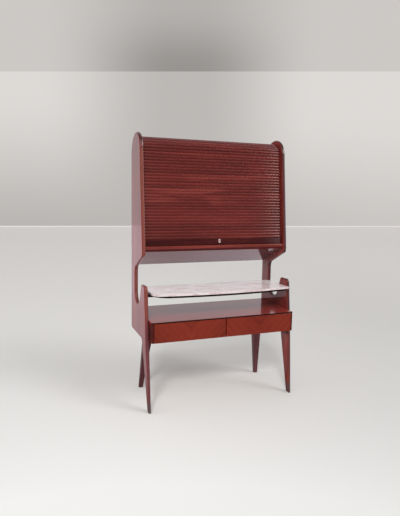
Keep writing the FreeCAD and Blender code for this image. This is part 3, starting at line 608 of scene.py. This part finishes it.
front_top = tuple(on_track(0, FRONT_RUN, 0, 0))
for piece in (front_slats, front_cloth):
    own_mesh(piece)

# ---------------------------------------------------------------- backdrop

# The floor ends at a wall, which starts here, runs in this direction and gets taller along it
STAGE_REACH = 60.0
WALL_START = Vector((-1.928, 17.341, 0.0))
WALL_ALONG = Vector((0.99245, -0.12266, 0.0))
WALL_TOP = 5.935
WALL_RISE = 0.0746

# The floor is lightest around this spot, in front of the desk on its left, and darker to the right: painted
# light that falls off from the spot, and painted shade to the right.
# FLOOR_FADE and FLOOR_FAR_FADE are limits on one over the distance from it.
NEAR_SPOT = (-1.185, -2.823, 0.0)
NEAR_REACH = 1.6
TO_RIGHT = (0.9356, -0.3530, 0.0)
FLOOR_FAR = rgb(202, 199, 196)
FLOOR_NEAR = rgb(245, 244, 242)
FLOOR_RIGHT_SHADE = grey(0.87)
FLOOR_FADE = (0.06, 0.5)
FLOOR_RIGHT_FADE = (-0.6, 2.2)
FLOOR_FAR_FADE = (0.06, 0.2)

# The wall's lower part gets lighter to the right, and its upper part toward both ends
WALL_LOW_LEFT = rgb(182, 178, 175)
WALL_LOW_RIGHT = rgb(200, 196, 193)
WALL_HIGH_MID = rgb(188, 184, 181)
WALL_HIGH_ENDS = rgb(221, 217, 214)
WALL_MID = 7.4
WALL_LOW_FADE = (1.4, 16.7)
WALL_ENDS_FADE = (0.6, 6.0)
WALL_UP_FADE = (-1.0, 5.5)
SKIRTING = rgb(228, 224, 221)
SKIRTING_TOP = 0.05

# The ceiling is darkest low down, over the wall, and lightest at both ends
CEILING_FAR = rgb(152, 148, 145)
CEILING_NEAR = rgb(181, 177, 174)
CEILING_ENDS = rgb(204, 200, 197)
CEILING_MID = -0.03
CEILING_FADE = (0.25, 0.36)
CEILING_ENDS_FADE = (0.02, 0.27)

# What gloss shows behind the desk: the pale floor and wall, and a dark studio out to the back left
DIM = grey(0.12)
GLOW = (0.60, 0.57, 0.595)
FLOOR_GLOW = (0.65, 0.53, 0.565)
FLOOR_GLOW_PALE = (0.87, 0.735, 0.80)
FLOOR_GLOW_Y = (-0.1, 0.5)
FLOOR_GLOW_X = (2.4, 1.8)
FLOOR_PALE_X = (-0.3, 1.1)
FLOOR_PALE_Y = (2.0, 4.0)
FROM_DARK = (1.0, 0.33, 0.0)
DARK_FADE = (-1.0, -0.5)
DARK_BEARING = (-0.55, -0.38)

# What gloss shows in front of it: soft boxes, between limits on the direction's x, y and z
BOX_LEFT = grey(1.3)
BOX_MID = grey(0.3)
BOX_RIGHT = grey(7.5)
BOX_MID_X = (0.18, 0.30)
BOX_RIGHT_X = (0.472, 0.510)
BOX_RIGHT_Z = (0.72, 0.56)
BOX_BOTTOM_Z = (0.25, 0.4)
BOX_TOP_Z = (0.92, 0.8)
BOX_RIGHT_LOW_Z = (0.0, 0.12)
BOX_RIGHT_LOW = 0.13
BACK_Y = (-0.25, 0.3)
LEAST_Y = 0.05

# Soft light from low down, from overhead and from the left
LOW_SKY = grey(0.65)
HIGH_SKY = grey(0.43)
LEFT_SKY = grey(0.9)
SKY_FADE = (0.25, 0.75)
LEFT_SKY_FADE = (-0.1, -0.9)


def plane(name, corners, material):
    mesh_object(name, corners, [(0, 1, 2, 3)], material)


def wall_point(along, top):
    spot = WALL_START + WALL_ALONG * along
    if top:
        spot.z = WALL_TOP + WALL_RISE * along
    return spot


def mirrored(n, path):
    """1 for what gloss and glass show."""
    return n.math("MAXIMUM", path.outputs["Is Glossy Ray"], path.outputs["Is Transmission Ray"])


def back_left(n, place):
    """1 behind the desk, 0 far out to its back left, where the studio is dark."""
    return n.ramp(n.vector("DOT_PRODUCT", place, FROM_DARK), *DARK_FADE)


def floor_paint():
    """Pale floor with painted light and shade, a little lighter toward the front and the left and darker to
    the right, with its own glow in gloss.
    """
    n = material_nodes("stage_floor")
    place = n.place()
    start = n.vector("SUBTRACT", place, NEAR_SPOT)
    near = n.math("DIVIDE", 1.0, n.math("MAXIMUM", n.vector("LENGTH", start), NEAR_REACH))
    # Painted light near the spot, and painted shade to the right
    paint = n.mix(n.ramp(near, *FLOOR_FADE, "LINEAR"), FLOOR_FAR, FLOOR_NEAR)
    right = n.ramp(n.vector("DOT_PRODUCT", start, TO_RIGHT), *FLOOR_RIGHT_FADE)
    right = n.math("MULTIPLY", right, n.ramp(near, *FLOOR_FAR_FADE))
    paint = n.mix(right, paint, FLOOR_RIGHT_SHADE, "MULTIPLY")
    x, y, _ = n.split(place)
    behind = n.math("MULTIPLY", n.ramp(y, *FLOOR_GLOW_Y), n.ramp(x, *FLOOR_GLOW_X))
    pale = n.math("MAXIMUM", n.ramp(x, *FLOOR_PALE_X), n.ramp(y, *FLOOR_PALE_Y))
    glow = n.mix(pale, FLOOR_GLOW, FLOOR_GLOW_PALE)
    glow = n.mix(n.math("MULTIPLY", behind, back_left(n, place)), DIM, glow)
    paint = n.mix(mirrored(n, n.add("ShaderNodeLightPath")), paint, glow)
    return n.finish(paint, Roughness=0.85, Specular_IOR_Level=0.2)


def wall_paint():
    """Plain wall in its own pale colour, lighter at the top and at both ends, with a glow in gloss."""
    n = material_nodes("stage_wall")
    place = n.place()
    along = n.vector("DOT_PRODUCT", n.vector("SUBTRACT", place, tuple(WALL_START)), tuple(WALL_ALONG))
    height = n.split(place)[2]
    low = n.mix(n.ramp(along, *WALL_LOW_FADE, "LINEAR"), WALL_LOW_LEFT, WALL_LOW_RIGHT)
    from_middle = n.math("ABSOLUTE", n.math("SUBTRACT", along, WALL_MID))
    high = n.mix(n.ramp(from_middle, *WALL_ENDS_FADE), WALL_HIGH_MID, WALL_HIGH_ENDS)
    paint = n.mix(n.ramp(height, *WALL_UP_FADE), low, high)
    paint = n.mix(n.math("LESS_THAN", height, SKIRTING_TOP), paint, SKIRTING)
    glow = n.mix(back_left(n, place), DIM, GLOW)
    paint = n.mix(n.add("ShaderNodeLightPath").outputs["Is Camera Ray"], glow, paint)
    return n.output(n.add("ShaderNodeEmission", Color=paint))


def ceiling(n, direction, z):
    """Grey ceiling, darker toward the wall and in the middle."""
    seen = n.mix(n.ramp(z, *CEILING_FADE), CEILING_FAR, CEILING_NEAR)
    across = n.vector("DOT_PRODUCT", direction, TO_RIGHT)
    from_middle = n.math("ABSOLUTE", n.math("SUBTRACT", across, CEILING_MID))
    return n.mix(n.ramp(from_middle, *CEILING_ENDS_FADE), seen, CEILING_ENDS)


def soft_boxes(n, x, y, z):
    """What gloss sees: bright boxes in front on the left and far right, and the pale wall behind."""
    far_right = n.math("MULTIPLY", n.ramp(x, *BOX_RIGHT_X), n.ramp(z, *BOX_RIGHT_Z))
    boxes = n.mix(n.ramp(x, *BOX_MID_X), BOX_LEFT, BOX_MID)
    boxes = n.mix(far_right, boxes, BOX_RIGHT)
    band = n.math("MULTIPLY", n.ramp(z, *BOX_BOTTOM_Z), n.ramp(z, *BOX_TOP_Z))
    low_right = n.math("MULTIPLY", far_right, n.ramp(z, *BOX_RIGHT_LOW_Z))
    band = n.math("MAXIMUM", band, n.math("MULTIPLY", low_right, BOX_RIGHT_LOW))
    front = n.mix(band, DIM, boxes)
    bearing = n.math("DIVIDE", x, n.math("MAXIMUM", y, LEAST_Y))
    back = n.mix(n.ramp(bearing, *DARK_BEARING), DIM, GLOW)
    return n.mix(n.ramp(y, *BACK_Y), front, back)


def studio(world):
    """Soft light all round, with soft boxes for gloss and a grey ceiling for the camera."""
    n = Nodes(world)
    direction = n.place("Generated")
    x, y, z = n.split(direction)
    path = n.add("ShaderNodeLightPath")
    soft = n.mix(n.ramp(z, *SKY_FADE), LOW_SKY, HIGH_SKY)
    soft = n.mix(n.ramp(x, *LEFT_SKY_FADE), soft, LEFT_SKY)
    colour = n.mix(mirrored(n, path), soft, soft_boxes(n, x, y, z))
    colour = n.mix(path.outputs["Is Camera Ray"], colour, ceiling(n, direction, z))
    return n.output(n.add("ShaderNodeBackground", Color=colour), "ShaderNodeOutputWorld")


wall_left, wall_right = wall_point(-STAGE_REACH, False), wall_point(STAGE_REACH, False)
front_left, front_right = (-STAGE_REACH, -STAGE_REACH, 0), (STAGE_REACH, -STAGE_REACH, 0)
plane("stage_floor", [front_left, front_right, wall_right, wall_left], floor_paint())
plane(
    "stage_wall",
    [wall_left, wall_right, wall_point(STAGE_REACH, True), wall_point(-STAGE_REACH, True)],
    wall_paint(),
)
bpy.context.scene.world = studio(bpy.data.worlds.new("world"))

# ---------------------------------------------------------------- lamps and camera

CAMERA_PLACE = Vector((-1.1848, -2.8230, 1.2979))
CAMERA_YAW = math.radians(20.667)
CAMERA_PITCH = math.radians(6.654)
CAMERA_ROLL = math.radians(0.879)
CAMERA_REACH = 200.0
SENSOR = 36.0

# The frame, in pixels
FRAME_W, FRAME_H = 400, 516
FOCAL = 470.37
CENTRE_X, CENTRE_Y = 196.89, 251.9


def sun_light(name, azimuth, elevation, spread, power):
    """Far lamp without a glint, its azimuth in degrees from the front toward the right."""
    data = bpy.data.lights.new(name, "SUN")
    data.angle = math.radians(spread)
    data.energy = power
    a, e = math.radians(azimuth), math.radians(elevation)
    toward = Vector((math.sin(a) * math.cos(e), -math.cos(a) * math.cos(e), math.sin(e)))
    obj = link_new(name, data)
    obj.rotation_euler = (-toward).to_track_quat("-Z", "Y").to_euler()
    obj.visible_glossy = False


def camera_turn():
    """Rotation from the three camera angles; roll lifts the camera's right side."""
    yaw, pitch, roll = CAMERA_YAW, CAMERA_PITCH, CAMERA_ROLL
    forward = Vector((math.sin(yaw) * math.cos(pitch), math.cos(yaw) * math.cos(pitch), -math.sin(pitch)))
    level = Vector((math.cos(yaw), -math.sin(yaw), 0))
    upright = level.cross(forward)
    right = level * math.cos(roll) + upright * math.sin(roll)
    up = upright * math.cos(roll) - level * math.sin(roll)
    return Matrix((right, up, -forward)).transposed().to_4x4()


def camera():
    data = bpy.data.cameras.new("camera")
    data.sensor_width = SENSOR
    data.lens = FOCAL / FRAME_H * SENSOR
    data.shift_x = (FRAME_W / 2 - CENTRE_X) / FRAME_H
    data.shift_y = (CENTRE_Y - FRAME_H / 2) / FRAME_H
    data.clip_end = CAMERA_REACH
    obj = link_new("camera", data)
    obj.matrix_world = Matrix.Translation(CAMERA_PLACE) @ camera_turn()
    return obj


sun_light("key_right", azimuth=46, elevation=41, spread=28, power=0.9)
sun_light("key_left", azimuth=-28, elevation=36.5, spread=13, power=1.4)
bpy.context.scene.camera = camera()
bpy.context.scene.view_settings.view_transform = "Standard"

bpy.context.view_layer.update()
